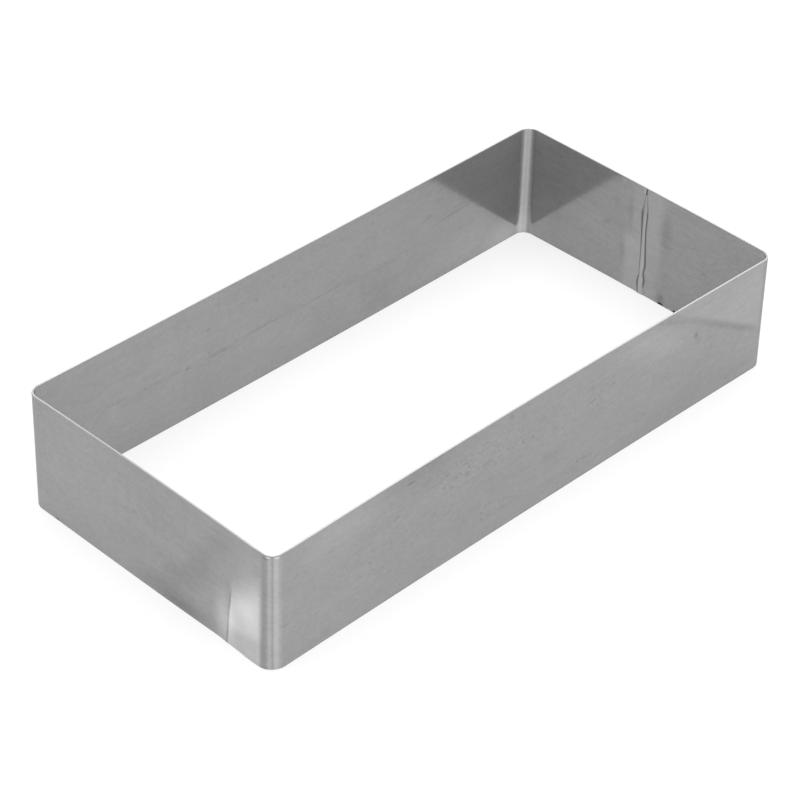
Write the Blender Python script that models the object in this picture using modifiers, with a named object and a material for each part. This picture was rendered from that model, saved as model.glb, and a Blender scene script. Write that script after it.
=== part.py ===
"""Rectangular mousse ring: one strip of stainless sheet, bent round four corners and butt welded.

The long side lies along X and the short side along Y. The origin is the centre of the footprint, on the
surface that the ring stands on. The two ends of the strip meet in the middle of the +X short wall.
"""

import math

import bmesh
import bpy
from mathutils import Vector

# The ring, outside, in metres.
LENGTH = 0.238
WIDTH = 0.117
HEIGHT = 0.046
SHEET = 0.0008
BEND_RADIUS = 0.005
BEND_SEGMENTS = 12

# The weld bead: its width, how far it stands proud on the inside, the rounding of its shoulders, and
# the narrow stretch that it starts with near the top edge.
BEAD_WIDTH = 0.0025
BEAD_PROUD = 0.0004
BEAD_SHOULDER = 0.0003
BEAD_SHOULDER_SEGMENTS = 3
BEAD_START_WIDTH = 0.0013
BEAD_START_LENGTH = 0.007

# Above the bead the ends of the strip are left unwelded, with a fine slit between them.
SLIT_LENGTH = 0.0028
SLIT_WIDTH = 0.0005

# The gap between the bead and the strip's ends, how far a cutter runs past what it cuts, and how near
# two points are taken for one.
WELD_GAP = 0.0003
CUT_OVERRUN = 0.001
MERGE_DISTANCE = 0.000002

# Linear base colour, metallic value and roughness of the two finishes.
ROLLED_STEEL = ((0.40, 0.40, 0.40, 1.0), 1.0, 0.28)
WELD_METAL = ((0.36, 0.36, 0.35, 1.0), 1.0, 0.38)

SMOOTH_UNDER = math.radians(30)


def clear_scene():
    for obj in list(bpy.data.objects):
        bpy.data.objects.remove(obj, do_unlink=True)


def new_collection(name):
    collection = bpy.data.collections.new(name)
    bpy.context.scene.collection.children.link(collection)
    return collection


def add_object(name, data, collection):
    obj = bpy.data.objects.new(name, data)
    collection.objects.link(obj)
    return obj


def metal(name, finish):
    color, metallic, roughness = finish
    material = bpy.data.materials.new(name)
    material.use_nodes = True
    shader = material.node_tree.nodes["Principled BSDF"]
    shader.inputs["Base Color"].default_value = color
    shader.inputs["Metallic"].default_value = metallic
    shader.inputs["Roughness"].default_value = roughness
    material.diffuse_color = color
    return material


def settle(obj):
    """Turns the modifiers into the mesh, and shades that smooth except along its sharp edges."""
    graph = bpy.context.evaluated_depsgraph_get()
    shape = bpy.data.meshes.new_from_object(obj.evaluated_get(graph))
    obj.modifiers.clear()
    obj.data = shape
    shape.shade_smooth()
    shape.set_sharp_from_angle(angle=SMOOTH_UNDER)


def bead_side(grow):
    """The (half width, height) of the bead where it starts to narrow and at its top, both grown."""
    top = HEIGHT - SLIT_LENGTH
    return [
        (BEAD_WIDTH / 2 + grow, top - BEAD_START_LENGTH),
        (BEAD_START_WIDTH / 2 + grow, top + grow),
    ]


def bead_outline():
    side = [(BEAD_WIDTH / 2, 0)] + bead_side(0)
    return side + [(-half, z) for half, z in reversed(side)]


def seam_cut_outline():
    """The bead's outline grown by the weld gap, run out at the bottom edge, and the slit above it."""
    foot = (BEAD_WIDTH / 2 + WELD_GAP, -CUT_OVERRUN)
    slit_foot = (SLIT_WIDTH / 2, HEIGHT - SLIT_LENGTH + WELD_GAP)
    slit_head = (SLIT_WIDTH / 2, HEIGHT + CUT_OVERRUN)
    side = [foot] + bead_side(WELD_GAP) + [slit_foot, slit_head]
    return side + [(-half, z) for half, z in reversed(side)]


def plate_in_wall(name, outline, inner_x, outer_x, collection):
    """A flat outline in the seam's wall, (along Y, up Z), made solid between two places along X."""
    curve = bpy.data.curves.new(name, "CURVE")
    curve.dimensions = "2D"
    curve.fill_mode = "BOTH"
    curve.extrude = (outer_x - inner_x) / 2
    spline = curve.splines.new("POLY")
    spline.points.add(len(outline) - 1)
    for point, (across, up) in zip(spline.points, outline):
        point.co = (across, up, 0, 1)
    spline.use_cyclic_u = True

    drawn = add_object(name + "_outline", curve, collection)
    graph = bpy.context.evaluated_depsgraph_get()
    mesh = bpy.data.meshes.new_from_object(drawn.evaluated_get(graph))
    bpy.data.objects.remove(drawn)
    caps = bmesh.new()
    caps.from_mesh(mesh)
    bmesh.ops.remove_doubles(caps, verts=caps.verts, dist=MERGE_DISTANCE)
    bmesh.ops.recalc_face_normals(caps, faces=caps.faces)
    caps.to_mesh(mesh)
    caps.free()

    plate = add_object(name, mesh, collection)
    plate.location = ((inner_x + outer_x) / 2, 0, 0)
    plate.rotation_euler = (math.pi / 2, 0, math.pi / 2)
    return plate


def make_strip(ring, cutters, finish):
    """The four walls as an open surface, rounded at the bends, thickened inwards and cut at the seam."""
    mesh = bpy.data.meshes.new("bent_strip")
    walls = bmesh.new()
    bmesh.ops.create_cube(walls, size=1.0)
    bmesh.ops.scale(walls, vec=(LENGTH, WIDTH, HEIGHT), verts=walls.verts)
    bmesh.ops.translate(walls, vec=(0, 0, HEIGHT / 2), verts=walls.verts)
    ends = [face for face in walls.faces if abs(face.normal.z) > math.cos(math.pi / 4)]
    bmesh.ops.delete(walls, geom=ends, context="FACES_ONLY")
    walls.to_mesh(mesh)
    walls.free()
    strip = add_object("bent_strip", mesh, ring)

    bends = strip.modifiers.new("bends", "BEVEL")
    bends.limit_method = "ANGLE"
    bends.width = BEND_RADIUS
    bends.segments = BEND_SEGMENTS
    bends.use_clamp_overlap = False

    sheet = strip.modifiers.new("sheet", "SOLIDIFY")
    sheet.thickness = SHEET
    sheet.offset = -1
    sheet.use_even_offset = True

    inner_x = LENGTH / 2 - SHEET - CUT_OVERRUN
    outer_x = LENGTH / 2 + CUT_OVERRUN
    cutter = plate_in_wall("seam_cutter", seam_cut_outline(), inner_x, outer_x, cutters)
    cutter.hide_render = True
    cutter.display_type = "WIRE"
    seam = strip.modifiers.new("seam", "BOOLEAN")
    seam.operation = "DIFFERENCE"
    seam.solver = "EXACT"
    seam.object = cutter

    strip.data.materials.append(metal("rolled_stainless_steel", finish))
    return strip


def make_weld(ring, finish):
    """The bead that fills the seam, flush with the outside of the wall and proud of the inside."""
    inner_x = LENGTH / 2 - SHEET - BEAD_PROUD
    weld = plate_in_wall("seam_weld", bead_outline(), inner_x, LENGTH / 2, ring)

    # In the plate's own frame the inside of the ring is at its lowest local Z.
    bead = bmesh.new()
    bead.from_mesh(weld.data)
    inner = min(vert.co.z for vert in bead.verts)
    foot = min(vert.co.y for vert in bead.verts)
    shoulders = [
        edge
        for edge in bead.edges
        if all(vert.co.z - inner < MERGE_DISTANCE for vert in edge.verts)
        and not all(vert.co.y - foot < MERGE_DISTANCE for vert in edge.verts)
        and edge.calc_face_angle(0) > math.pi / 4
    ]
    bmesh.ops.bevel(
        bead,
        geom=shoulders,
        offset=BEAD_SHOULDER,
        segments=BEAD_SHOULDER_SEGMENTS,
        profile=0.5,
        affect="EDGES",
        clamp_overlap=True,
    )
    bead.to_mesh(weld.data)
    bead.free()
    weld.data.materials.append(metal("weld_metal", finish))
    return weld


def add_mount(name, place, outward, collection):
    """An empty on a face of the ring, its local Z pointing out of that face."""
    mark = add_object(name, None, collection)
    mark.empty_display_type = "SINGLE_ARROW"
    mark.empty_display_size = HEIGHT / 2
    mark.location = place
    mark.rotation_euler = Vector(outward).to_track_quat("Z", "Y").to_euler()
    return mark


def main():
    clear_scene()
    ring = new_collection("rectangular_mousse_ring")
    cutters = new_collection("cutters")
    mounts = new_collection("mounts")
    strip = make_strip(ring, cutters, ROLLED_STEEL)
    weld = make_weld(ring, WELD_METAL)
    for piece in (strip, weld):
        settle(piece)
    middle_of_sheet = WIDTH / 2 - SHEET / 2
    add_mount("mount_bottom_edge", (0, -middle_of_sheet, 0), (0, 0, -1), mounts)
    add_mount("mount_top_edge", (0, -middle_of_sheet, HEIGHT), (0, 0, 1), mounts)


main()
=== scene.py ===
"""Rectangular mousse ring of bent stainless strip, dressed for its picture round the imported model."""

import math

import bpy
from mathutils import Euler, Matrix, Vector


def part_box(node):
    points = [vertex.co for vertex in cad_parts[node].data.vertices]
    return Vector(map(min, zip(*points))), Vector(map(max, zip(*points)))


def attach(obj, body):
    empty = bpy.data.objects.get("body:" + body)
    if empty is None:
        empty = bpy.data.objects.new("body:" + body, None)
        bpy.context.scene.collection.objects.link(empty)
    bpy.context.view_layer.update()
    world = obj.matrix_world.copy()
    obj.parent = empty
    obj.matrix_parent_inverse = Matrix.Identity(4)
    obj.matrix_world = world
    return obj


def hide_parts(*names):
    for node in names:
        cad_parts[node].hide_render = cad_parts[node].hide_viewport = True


bl_info = {
    "name": "Rectangular Mousse Ring",
    "version": (1, 0, 0),
    "blender": (4, 5, 0),
    "location": "View3D > Sidebar > Mousse Ring",
    "description": "Builds a bent and butt welded stainless mousse ring, its finishes and its stage",
    "category": "Add Mesh",
}

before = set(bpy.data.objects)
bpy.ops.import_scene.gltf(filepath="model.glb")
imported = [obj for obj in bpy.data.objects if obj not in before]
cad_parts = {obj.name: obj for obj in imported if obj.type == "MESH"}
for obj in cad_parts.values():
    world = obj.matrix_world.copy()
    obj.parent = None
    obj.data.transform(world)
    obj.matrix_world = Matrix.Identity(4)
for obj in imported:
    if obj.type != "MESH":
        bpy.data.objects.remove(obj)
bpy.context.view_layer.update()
STRIP_LOW, STRIP_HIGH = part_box("bent_strip")
WELD_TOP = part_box("seam_weld")[1].z

MM = 0.001
LENGTH = STRIP_HIGH.x - STRIP_LOW.x
WIDTH = STRIP_HIGH.y - STRIP_LOW.y
HEIGHT = STRIP_HIGH.z - STRIP_LOW.z
WHITE = (1.0, 1.0, 1.0, 1.0)

# How many points go round each bend and each deburred edge, and along and round the bead.
BEND_POINTS = 14
EDGE_POINTS = 3
BEAD_STEPS = 321
BEAD_SIDES = 48

# Edges that turn by more than this stay sharp. A face is a sheared edge where its normal is more than this
# much upright, and a cut end where it is more than this much along the strip.
SHARP_OVER = math.radians(50)
SHEARED_OVER = 0.85
CUT_OVER = 0.9

# A bend draws the sheet's edges in by this power of the way to them, so only within about 3 mm of them.
EDGE_REACH = 21.0
# The size of the sheet's slow wander, as waves to a metre.
WAVES_A_METRE = 32.0

# How far each wall stands in from true (+) or out from it (-), in mm, at its top edge and at its foot.
# Each pair is a share of the way along the wall, from its first bend to its last as the strip runs,
# and the distance there. The left wall's foot has the kink that the bending left near its second bend.
WALL_BOWS = {
    "back": (
        ((0.0, 0.0), (0.25, 0.41), (0.5, 0.55), (0.75, 0.41), (1.0, 0.0)),
        ((0.0, 0.0), (0.25, 0.58), (0.5, 0.78), (0.75, 0.58), (1.0, 0.0)),
    ),
    "left": (
        ((0.0, 0.1), (0.25, 0.44), (0.5, 0.59), (0.75, 0.44), (1.0, 0.0)),
        (
            (0.0, -0.1), (0.25, -0.23), (0.5, -0.3), (0.66, -0.22), (0.74, -0.1), (0.79, -0.04),
            (0.83, -0.24), (0.87, -0.34), (0.92, -0.66), (0.96, -0.52), (1.0, -0.3),
        ),
    ),
    "front": (
        ((0.0, 0.0), (0.25, 1.13), (0.5, 1.51), (0.75, 1.13), (0.9, 0.64), (1.0, 0.25)),
        ((0.0, 0.0), (0.25, 0.53), (0.5, 0.71), (0.75, 0.53), (1.0, 0.0)),
    ),
    "right": (
        ((0.0, 0.25), (0.12, -0.04), (0.45, -0.38), (0.55, -0.38), (1.0, 0.0)),
        ((0.0, -0.25), (0.12, -0.31), (0.45, -0.79), (0.55, -0.79), (1.0, 0.0)),
    ),
}
# The most that a wall's curve can hold, in mm. The right wall's points within BY_SEAM of its middle are
# beside the seam.
BOW_RANGE = 2.0
BY_SEAM = 0.1

# The bead's two toes: how far each lies from the seam's middle, in mm, at shares of the bead's height.
# TOE_RANGE is the most that a toe's curve can hold.
TOE_RANGE = 3.0
LEFT_TOE = (
    (0.0, 0.95), (0.05, 1.1), (0.1, 1.35), (0.15, 1.25), (0.2, 0.62), (0.34, 0.72), (0.5, 0.8), (0.68, 1.12),
    (0.82, 1.3), (0.9, 0.9), (0.96, 0.45), (1.0, 0.3),
)
RIGHT_TOE = (
    (0.0, 1.3), (0.1, 1.5), (0.15, 1.75), (0.22, 1.2), (0.3, 1.65), (0.45, 1.35), (0.66, 0.95), (0.82, 1.1),
    (0.92, 0.6), (1.0, 0.3),
)

# The toe lies at this share of the bead's half width, and a thin lip feathers out beyond it.
TOE_SHARE = 0.75
# The bead's inner side from its middle to its lip, as shares of its height, with a groove at the toe. The
# outer side is ground to a dome of this many mm.
DOME = ((0.0, 1.0), (0.3, 0.92), (0.55, 0.66), (0.72, 0.2), (0.8, 0.16), (0.9, 0.22), (1.0, 0.05))
GROUND_DOME = 0.04
# The heights in mm between which the bead runs out at the foot, and grows from its thin start at the top.
RUN_OUT = (-1.0, 2.0)
RUN_IN = (43.5, 37.0)
THIN_START = 0.3

# Painted shade in the toe grooves: how dark the line along each toe is, from the bead's middle to its lip,
# and the tone where it is darkest. Both lines grow from a faint start at the top, and the right one fades
# out at the foot, between these heights in mm.
LEFT_TOE_SHADE = ((0.0, 0.0), (0.27, 0.02), (0.42, 0.95), (0.97, 0.95), (0.99, 0.7), (1.0, 0.4))
RIGHT_TOE_SHADE = ((0.0, 0.0), (0.56, 0.02), (0.66, 0.95), (0.86, 0.95), (0.94, 0.1), (1.0, 0.0))
TOE_SHADE_TONE = 0.33
TOE_SHADE_START = (39.0, 34.5)
FAINT_START = 0.05
RIGHT_TOE_SHADE_FOOT = (2.0, 5.0)

# Marks on the sheet, and painted light: some spots, scratches and patches below are painted reflections,
# highlights and shade, as their own comments say. Places are mm across a wall, which is its X or Y, and mm
# up it; tilts and leads are degrees from straight across; softness is how much of a rim fades, or over how
# many mm a side does; the strength is how much lighter (+) or darker (-) the sheet is there. "seam" is the
# half of the right wall with Y over 0, and "right" the other half.

# Which way each wall's X or Y runs along the strip, and the face that its marks are on, -1 inside and +1
# outside. A mark reaches this far through the sheet, so it stays on its own face.
WAYS = {"seam": 1, "back": -1, "left": -1, "front": 1, "right": 1}
SIDES = {"seam": -1, "back": -1, "left": 1, "front": 1, "right": -1}
REACH_THROUGH = 1.9

# Wall, place, half its extent across and up, tilt, softness, strength.
SPOTS_AND_PAINTED_LIGHT = (
    # Painted reflections: the broad lighter and darker zones over the front wall.
    ("front", -95, 20, 45, 90, 0, 1.0, 0.04),
    ("front", -92, 42, 27, 12, 0, 1.0, 0.14),
    ("front", -50, 44, 24, 12, 0, 1.0, -0.13),
    ("front", 45, 46, 40, 16, 0, 1.0, 0.04),
    ("front", 82, 8, 48, 20, 0, 1.0, -0.055),
    ("front", -20, 18, 60, 16, 0, 1.0, -0.03),
    ("front", -96, 6, 3.5, 7, 0, 0.6, -0.04),
    ("front", 106, 33, 20, 14, 0, 1.0, 0.05),
    # Painted reflection: the sheen above the oblique line.
    ("front", 60, 37, 30, 11, -22, 1.0, 0.16),
    ("front", 79.8, 30.8, 1.5, 2.2, 15, 0.8, -0.26),
    ("front", 81.3, 28.4, 2.2, 2.2, 0, 1.0, -0.09),
    ("front", 79.5, 15, 0.8, 0.8, 0, 0.9, -0.14),
    ("front", -12, 43.7, 1.3, 1.6, 0, 0.9, -0.18),
    # Painted reflection: the dark band down the front right bend.
    ("front", 117.4, 42, 1.7, 19, 0, 0.8, -0.5),
    ("front", 8, 17, 8, 4, 0, 1.0, -0.07),
    ("front", -32.2, 32, 2.2, 1.7, 0, 1.0, -0.15),
    ("front", -23.8, 30.8, 2.3, 1.5, 0, 1.0, -0.15),
    ("front", -39, 33, 2.6, 1.2, 0, 1.0, -0.1),
    ("front", -32.7, 35.9, 1.0, 0.8, 0, 0.9, -0.16),
    ("front", -44.1, 36.1, 0.9, 0.8, 0, 0.9, -0.13),
    ("front", -47.3, 23.8, 0.8, 0.7, 0, 0.8, -0.2),
    ("front", 10, 27.6, 2.2, 1.3, 0, 1.0, -0.08),
    ("front", 37.7, 31.8, 1.7, 1.3, 0, 1.0, -0.14),
    ("front", 54.9, 10.1, 1.6, 0.8, 0, 1.0, -0.08),
    ("front", -104.4, 32.9, 1.2, 0.7, 0, 0.9, -0.12),
    # Painted reflection: the bright flat between the left wall's crease and its bend.
    ("left", -47, 19, 8, 9, 0, 1.0, 0.28),
    ("left", -36.8, 9, 7.0, 17, 0, 1.0, 0.55),
    ("left", -5, 23, 30, 120, 0, 1.0, -0.04),
    ("left", 58, 23, 22, 120, 0, 1.0, -0.03),
    ("left", -49, 33, 9, 13, 0, 1.0, 0.11),
    # Painted shade: the darker band towards the left wall's foot.
    ("left", -29, 31, 22, 8, -52, 1.0, -0.13),
    ("left", -18, 15, 24, 8, -35, 1.0, -0.14),
    ("left", -12, 3, 26, 8.5, 0, 1.0, -0.2),
    ("left", -18, 2, 15, 5, 0, 1.0, -0.16),
    ("left", 5.6, 27.2, 0.9, 0.5, 30, 0.8, -0.2),
    ("left", 41.2, 9.5, 0.5, 0.5, 0, 0.8, -0.2),
    ("left", 45, 0.7, 1.3, 0.5, 0, 0.6, -0.5),
    ("left", -37.7, 0.3, 0.5, 0.7, 0, 0.5, -0.5),
    ("seam", 46, 38, 28, 26, 0, 1.0, -0.04),
    ("seam", 24, 28.5, 0.8, 0.6, 0, 0.8, -0.12),
    ("seam", 18, 23.5, 4.0, 2.2, -45, 1.0, -0.11),
    ("seam", 14, 28, 9, 13, 0, 1.0, -0.05),
    ("seam", 6.5, 33, 1.8, 12, 0, 0.9, -0.14),
    ("seam", 9.5, 13, 2.0, 8, 0, 1.0, -0.11),
    ("right", -10, 31, 4.5, 13, 0, 1.0, -0.17),
    ("right", -5, 24, 1.3, 1.3, 0, 0.8, -0.07),
    ("right", -29, 23.5, 1.8, 1.3, 0, 1.0, -0.12),
    ("right", -17.5, 17, 1.0, 1.0, 0, 1.0, -0.1),
    ("right", -10, 2.5, 3.0, 4.0, 0, 1.0, -0.3),
    ("back", -45.5, 23.5, 2.5, 1.8, 0, 1.0, 0.1),
    ("back", -84, 19, 3.0, 8, 0, 1.0, 0.07),
    # Painted light: the back wall lifted towards its inner corner by the seam.
    ("back", 109, 3, 17, 10, 0, 1.0, 0.46),
    ("back", 82, 6, 40, 13, 0, 1.0, 0.1),
    ("back", 117.6, 4, 5, 15, 0, 1.0, 0.2),
    ("back", 94, 11, 28, 24, 0, 1.0, 0.14),
    ("back", 112, 36, 32, 30, 0, 1.0, -0.02),
    ("back", -75, 23, 75, 120, 0, 1.0, 0.05),
    # Painted light: a band lifted across the back wall's left end, where it shows darker.
    ("back", -98, 21, 34, 9, -52, 1.0, 0.04),
)

# Wall, one end's place, the other end's, half its width, softness, strength.
SCRATCHES_AND_PAINTED_REFLECTIONS = (
    ("front", -99.2, 40, -99.2, 12, 0.35, 0.8, 0.05),
    ("front", -99.2, 20, -99.2, -8, 0.35, 0.8, 0.09),
    ("front", -61, 42.3, -56, 42.0, 0.35, 0.6, -0.35),
    ("front", -116, 17.2, -111, 16.6, 0.35, 0.7, -0.22),
    # Painted reflection: the oblique dark line across the front wall's right end, lighter below it.
    ("front", 50, 50.3, 82, 35.2, 1.8, 1.0, -0.1),
    ("front", 66, 44.7, 130, 7.6, 2.2, 1.0, -0.16),
    ("front", 84, 22, 120, 9, 1.6, 1.0, 0.04),
    ("front", 60, 44, 68, 44.2, 0.3, 0.7, -0.1),
    ("front", 44, 41, 56, 41.8, 0.3, 0.7, 0.1),
    ("front", 80, 43.5, 88, 42, 0.3, 0.7, -0.1),
    # The left wall's crease: a tool mark, darkened with painted shade.
    ("left", -40.2, 26, -38.1, 8, 0.8, 0.9, -0.75),
    ("left", -39.0, 17, -37.4, -6, 0.8, 0.9, -0.85),
    ("left", -25.5, 28, -29.5, 27.6, 0.4, 0.7, -0.12),
    ("left", -29, 42.3, -36, 42.2, 0.4, 0.7, -0.14),
    ("left", -31, 40.6, -35, 40.6, 0.3, 0.7, -0.1),
    ("left", -36, 15, -38, 14.4, 0.35, 0.7, -0.2),
    ("left", -51.5, 29.2, -54.5, 28.8, 0.35, 0.7, -0.2),
    # Painted highlights: thin bright lines by the top of the slit.
    ("seam", 11.5, 44.6, 9.2, 45.1, 0.25, 0.7, 0.5),
    ("seam", 0.8, 45.8, 0.8, 43.0, 0.4, 0.8, 0.5),
    # Painted shadow: dark marks where the right wall's foot stands off the table, with a light nick between.
    ("right", -8.4, 0.5, -12.0, 0.3, 0.9, 0.6, -0.9),
    ("right", -13.6, 0.5, -15.8, 0.4, 0.4, 0.6, 0.5),
    ("right", -16.2, 0.4, -18.2, 0.3, 1.1, 0.5, -0.95),
    ("back", -82, 10, -74, 10.1, 0.4, 0.8, 0.12),
    ("back", -99, 28.5, -92.5, 28.6, 0.4, 0.8, 0.09),
    ("back", 66, 25.0, 91, 26.3, 0.9, 1.0, -0.17),
    ("back", 75, 28.2, 89, 27.4, 0.7, 1.0, -0.12),
    ("back", 60, 28.8, 70, 29.9, 1.4, 1.0, -0.09),
)

# Marks on the front left bend, as shares of the way round it, heights, half widths, softness, strength. The
# two bright ones under the rim are painted highlights.
BEND_MARKS_AND_HIGHLIGHTS = (
    (0.18, 45.4, 0.46, 45.3, 0.2, 0.6, 1.6),
    (0.56, 45.3, 0.86, 45.4, 0.2, 0.6, 1.6),
    (0.0, 45.0, 0.46, 44.7, 0.3, 0.7, -0.35),
    (0.05, 31.6, 0.3, 29.6, 0.3, 0.7, -0.18),
    (0.6, 30.9, 0.95, 31.4, 0.3, 0.7, -0.2),
    (0.4, 31.2, 0.6, 31.2, 0.25, 0.7, 0.25),
)

# Dragged scratches, whose lines wander.
DRAGGED = (
    ("back", -90, 22.8, -76, 22.4, 1.0, 0.9, -0.1),
    ("back", -80, 22.2, -44, 21.2, 1.2, 0.9, -0.1),
    ("back", -46, 20.9, -28, 20.8, 1.3, 0.9, -0.14),
    ("back", -34, 21.6, 0, 21.8, 0.9, 0.9, -0.13),
    ("back", -12, 21.2, 34, 21.2, 0.7, 0.9, -0.12),
    ("back", 18, 20.4, 34, 20.2, 0.8, 0.9, -0.1),
)

# Wall, strength, and its sides: a place on each, the way that leads in from it, and its softness in mm.
PATCHES_AND_PAINTED_LIGHT = (
    # Painted reflection: the bright flat between the crease and the bend, and the paler foot under it.
    (
        "left", 0.88,
        ((-38.7, 14, 185, 1.6), (-46, 26.5, 237, 14.0), (-53.2, 17, 0, 2.8), (-46.5, 9.0, 76, 5.0)),
    ),
    ("left", 0.5, ((-38.7, 14, 185, 0.8), (-53.2, 17, 0, 1.4), (-46.5, 9.0, 256, 5.0))),
    # Painted reflection: the lighter corner over the oblique line.
    ("front", 0.145, ((80, 38.6, 60, 2.2), (114, 23, 180, 1.5))),
    # The pale band that the weld's heat left, narrower towards the top.
    ("seam", 0.19, ((8.4, 10, 180, 4.5), (4, 23.5, 270, 5.0))),
    ("seam", 0.08, ((6.4, 35, 180, 5.0), (4, 23.5, 90, 5.0))),
    ("right", 0.16, ((-8.4, 23, 2, 7.0),)),
    # The inside of the back wall below the dragged line, lighter and duller by turns.
    ("back", 0.03, ((-27, 10, 0, 0.6), (31.5, 10, 180, 0.6), (0, 20.5, 270, 1.0))),
    ("back", -0.03, ((7, 10, 0, 0.8), (31.5, 10, 180, 0.6), (0, 20, 270, 1.0))),
    ("back", -0.05, ((31.5, 10, 0, 0.6), (48, 10, 180, 10.0), (40, 20.5, 270, 1.0), (40, 3, 90, 2.0))),
    # Painted shade: the inside of the wall with the seam, a little darker.
    ("seam", -0.08, ((46, 23, 180, 10.0),)),
    ("right", -0.12, ((-55, 23, 0, 4.0),)),
)

# The pits rolled into the sheet: how far apart they could lie in mm, how they stretch along it, what is
# added to each one's own breadth, where in its breadth it starts and is deepest, and its tone. Finer
# flecks go with them.
PIT_SPACING = 1.9
PIT_STRETCH = (0.6, 1.0, 1.0)
PIT_LEAST = 0.35
PIT_RIM = 0.32
PIT_FLOOR = 0.05
PIT_TONE = -0.3
FLECKS_A_MM = 0.9
FLECK_TONE = 0.4
# Where the sheet is pitted, as spots; the strength is the share of the pits that show there.
PITTED = (
    ("front", -24, 34, 40, 9, 0, 0.6, 0.9),
    ("front", 32, 29, 12, 8, 0, 0.6, 0.8),
    ("front", -17, 9.5, 24, 5, 0, 0.6, 0.7),
    ("front", 19, 7, 22, 5, 0, 0.6, 0.6),
    ("front", -70, 24, 34, 14, 0, 1.0, 0.6),
    ("back", -30, 35, 80, 12, 0, 0.8, 0.04),
    ("back", -40, 21.6, 48, 2.6, 0, 0.6, 0.3),
)

# The sheet's grain: how finely each noise divides the strip along, up and through, and its depth. The real
# grain is too fine to show from here, so it is drawn as coarse as a picture of the sheet shows it.
GRAIN = (
    ((1 / 5, 1 / 0.5, 1.0), 0.1),
    ((1 / 1.2, 1 / 0.8, 1.0), 0.23),
    ((1 / 3, 1 / 1.8, 1.0), 0.2),
    ((1 / 26, 1 / 3, 1.0), 0.11),
    ((1 / 14, 1 / 9, 1.0), 0.14),
)

# Painted light: how much paler the walls are at the foot than at the top, and for each mm between.
FOOT_PAINTED_LIGHT = 0.08
FOOT_PAINTED_LIGHT_A_MM = FOOT_PAINTED_LIGHT * MM / HEIGHT

# The lines round an outer bend, from its start to its end: 0.5 is the sheet's own tone. They are the bending
# tool's marks and painted reflections of what the bend mirrors.
BEND_LINES_AND_REFLECTIONS = (
    (0.0, 0.5), (0.05, 0.41), (0.16, 0.33), (0.27, 0.42), (0.41, 0.76), (0.46, 0.68), (0.51, 0.52),
    (0.56, 0.7), (0.65, 0.9), (0.73, 0.83), (0.81, 0.68), (0.91, 0.56), (1.0, 0.5),
)
# And those round an inner bend: a painted reflection, the bright stripe that the bend mirrors.
INNER_BEND_PAINTED_REFLECTION = (
    (0.0, 0.5), (0.12, 0.36), (0.24, 0.22), (0.32, 0.42), (0.4, 0.78), (0.47, 0.88), (0.54, 0.78),
    (0.65, 1.0), (0.73, 0.97), (0.84, 0.84), (0.92, 0.62), (1.0, 0.5),
)
# The bends that show them: the wall that the bend leads to as the strip runs, its lines, which face they
# are on, and their strength.
LINED_BENDS = (
    ("back", INNER_BEND_PAINTED_REFLECTION, -1, 1.0),
    ("back", BEND_LINES_AND_REFLECTIONS, 1, 0.7),
    ("left", BEND_LINES_AND_REFLECTIONS, 1, 0.25),
    ("front", BEND_LINES_AND_REFLECTIONS, 1, 1.0),
)

# How finely dragged scratches and pits wander, to a mm, and how far in mm along and up.
RAGGED_A_MM = 0.35
RAGGED_BY = (5.0, 1.6, 0.0)

# What a noise runs between, near enough. How fine the sheared edges' nicks and the soot in the slit are,
# to a mm, and the tones that they run between.
NOISE_RANGE = (0.3, 0.7)
NICKS_A_MM = 0.8
NICK_TONES = (0.93, 1.03)
SOOT_A_MM = 1.5
SOOT_TONES = (0.7, 1.3)
# The heights in mm between which the scorched ends of the strip turn clean.
SCORCH_END = (45.2, 45.7)
# Painted shade: the rim is darker over the front left bend and along the left wall: half extents, tilt,
# softness and strength.
BEND_RIM_SHADE = (9.0, 9.0, 0, 0.8, -0.6)
LEFT_RIM_SHADE = (90.0, 30.0, 0, 0.5, -0.28)

# The camera, as the edges in the photograph give it: place in metres, turn in degrees, lens in mm.
CAMERA_PLACE = (-0.57758, -0.55597, 0.62061)
CAMERA_TURN = (52.8129, -1.2427, -44.8817)
CAMERA_LENS = 132.551
CAMERA_SENSOR = 36.0

# The table's side in metres, how far it lies under the ring's foot so that the two don't share a plane,
# and how strongly it glows to the camera and in the metal.
FLOOR_SIDE = 8.0
FLOOR_DROP = 0.02 * MM
GLOW = 0.64


def linear(hex_color):
    """The linear RGBA value of an sRGB hex colour."""
    parts = [int(hex_color[i:i + 2], 16) / 255 for i in (1, 3, 5)]
    return tuple(c / 12.92 if c <= 0.04045 else ((c + 0.055) / 1.055) ** 2.4 for c in parts) + (1.0,)


def distance(name, description, default):
    """A property that holds a length in metres."""
    return bpy.props.FloatProperty(
        name=name, description=description, default=default, subtype="DISTANCE", unit="LENGTH"
    )


def color(name, description, hex_color):
    """A property that holds a colour, from its sRGB hex value."""
    return bpy.props.FloatVectorProperty(
        name=name, description=description, default=linear(hex_color), size=4, subtype="COLOR", min=0, max=1
    )


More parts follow.
